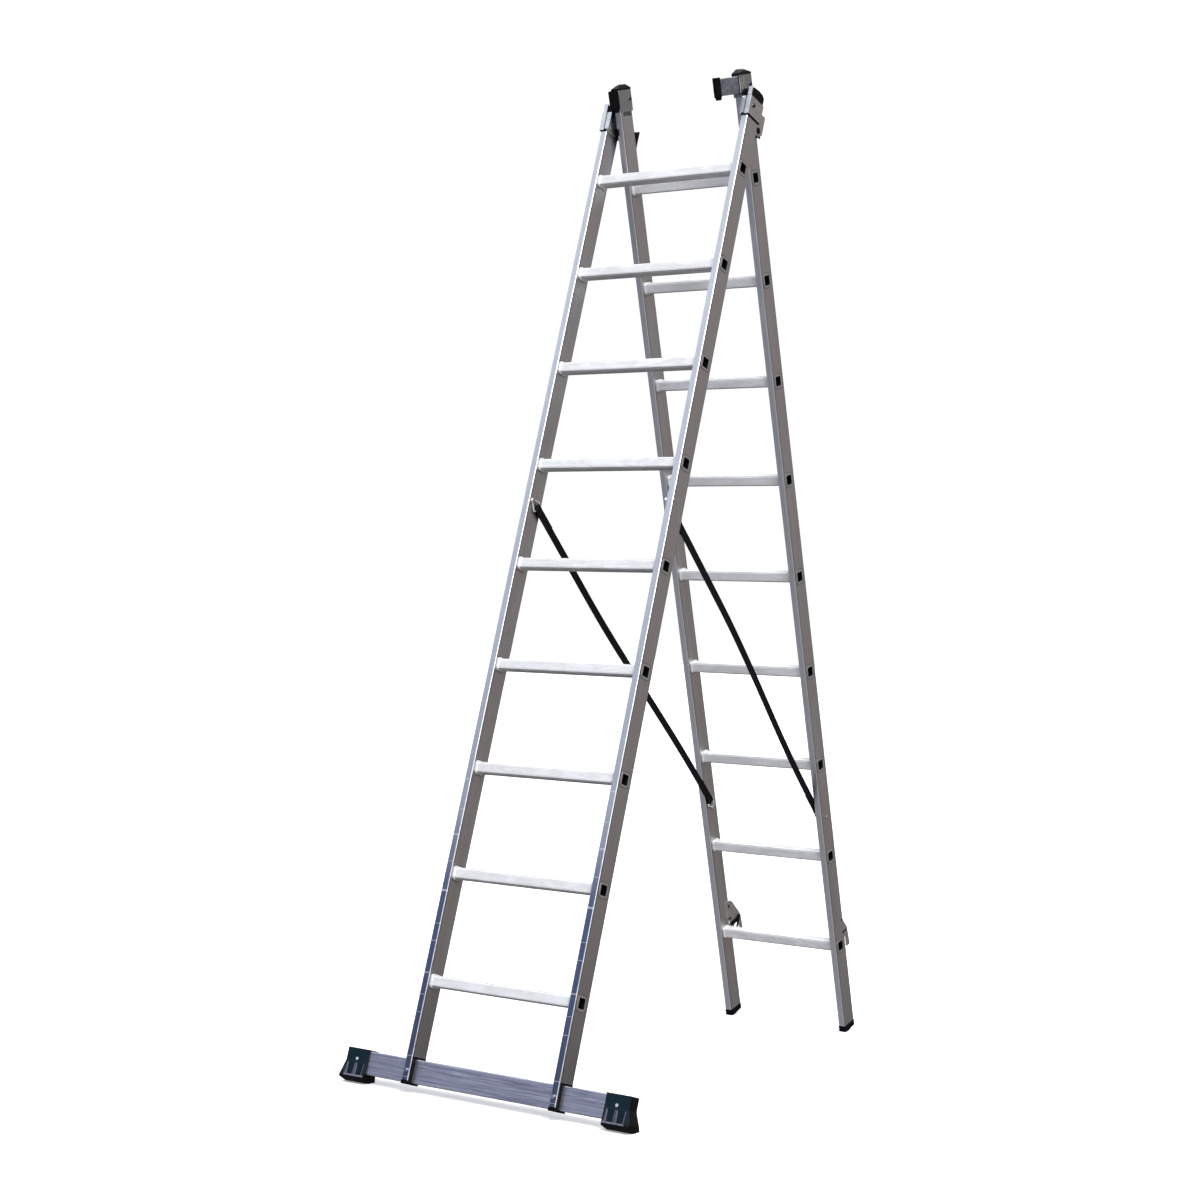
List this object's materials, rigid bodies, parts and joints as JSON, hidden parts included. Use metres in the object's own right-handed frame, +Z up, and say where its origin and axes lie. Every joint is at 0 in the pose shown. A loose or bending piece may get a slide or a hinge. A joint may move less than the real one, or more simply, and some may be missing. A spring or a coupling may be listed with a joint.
{
  "type": "extension ladder",
  "caption": "Aluminium extension ladder standing as an A-frame; the fly section folds and slides in guide brackets on the base section, with safety straps, hooks and a stabiliser bar.",
  "frame": {"origin": "on the ground at the centre of the footprint of the A-frame", "axes": "+Z up; +X to the right of a climber on the base section; +Y away from that climber, towards the fly section"},
  "size_m": [0.892, 1.5772, 2.7014],
  "materials": {
    "stile_aluminium": "satin extruded, fine lengthwise die lines",
    "rung_aluminium": "bright mill finish, grooved tread",
    "traverse_aluminium": "satin extruded, lengthwise die lines",
    "black_plastic": "moulded, satin",
    "cap_plastic": "moulded, glossy",
    "zinc_steel": "zinc plated, mottled",
    "bolt_steel": "zinc plated, bright",
    "ring_steel": "bright wire",
    "webbing": "woven webbing, matte"
  },
  "bodies": {
    "base_section": {"base_stile_left": "stile_aluminium", "base_stile_right": "stile_aluminium", "base_rung_1": "rung_aluminium", "base_rung_2": "rung_aluminium", "base_rung_3": "rung_aluminium", "base_rung_4": "rung_aluminium", "base_rung_5": "rung_aluminium", "base_rung_6": "rung_aluminium", "base_rung_7": "rung_aluminium", "base_rung_8": "rung_aluminium", "base_rung_9": "rung_aluminium", "traverse": "traverse_aluminium", "traverse_foot_left": "black_plastic", "traverse_foot_right": "black_plastic", "traverse_bolts": "bolt_steel", "foot_rivets": "bolt_steel", "stile_plug_left": "black_plastic", "stile_plug_right": "black_plastic", "guide_bracket_left": "zinc_steel", "guide_bracket_right": "zinc_steel", "guide_plate_left": "zinc_steel", "guide_plate_right": "zinc_steel", "guide_liner_left": "black_plastic", "guide_liner_right": "black_plastic", "base_top_cap_left": "black_plastic", "base_top_cap_right": "black_plastic", "guide_bolts": "bolt_steel", "base_strap_ring_left": "ring_steel", "base_strap_ring_right": "ring_steel", "base_anchor_rivets": "bolt_steel", "strap_left": "webbing", "strap_right": "webbing"},
    "swivel_guides": {"swivel_shoe_left": "black_plastic", "swivel_shoe_right": "black_plastic"},
    "fly_section": {"fly_stile_left": "stile_aluminium", "fly_stile_right": "stile_aluminium", "fly_rung_1": "rung_aluminium", "fly_rung_2": "rung_aluminium", "fly_rung_3": "rung_aluminium", "fly_rung_4": "rung_aluminium", "fly_rung_5": "rung_aluminium", "fly_rung_6": "rung_aluminium", "fly_rung_7": "rung_aluminium", "fly_rung_8": "rung_aluminium", "fly_rung_9": "rung_aluminium", "fly_foot_left": "black_plastic", "fly_foot_right": "black_plastic", "top_bracket_left": "zinc_steel", "top_bracket_right": "zinc_steel", "arm_caps": "black_plastic", "fly_top_cap_left": "cap_plastic", "fly_top_cap_right": "cap_plastic", "top_bolts": "bolt_steel", "hook_plate_left": "zinc_steel", "hook_plate_right": "zinc_steel", "hook_rivets": "bolt_steel", "fly_strap_rings": "ring_steel", "fly_anchor_rivets": "bolt_steel"},
    "latch_left": {"hook_latch_left": "black_plastic"},
    "latch_right": {"hook_latch_right": "black_plastic"}
  },
  "joints": [
    {"name": "fly_fold", "type": "hinge", "parent": "base_section", "child": "swivel_guides", "pos_m": [0, 0.06836, 2.54171], "axis": [-1, 0, 0], "range_deg": [0, 32.5], "deforming": ["strap_left", "strap_right"]},
    {"name": "fly_slide", "type": "slide", "parent": "swivel_guides", "child": "fly_section", "axis": [0, -0.2731, 0.962], "range_m": [0, 1.68]},
    {"name": "latch_left_turn", "type": "hinge", "parent": "fly_section", "child": "latch_left", "pos_m": [-0.18, 0.75007, 0.29997], "axis": [-1, 0, 0], "range_deg": [0, 30], "stiffness_Nm_per_rad": 0.05, "springref_deg": -28.65},
    {"name": "latch_right_turn", "type": "hinge", "parent": "fly_section", "child": "latch_right", "pos_m": [0.18, 0.75007, 0.29997], "axis": [-1, 0, 0], "range_deg": [0, 30], "stiffness_Nm_per_rad": 0.05, "springref_deg": -28.65}
  ]
}
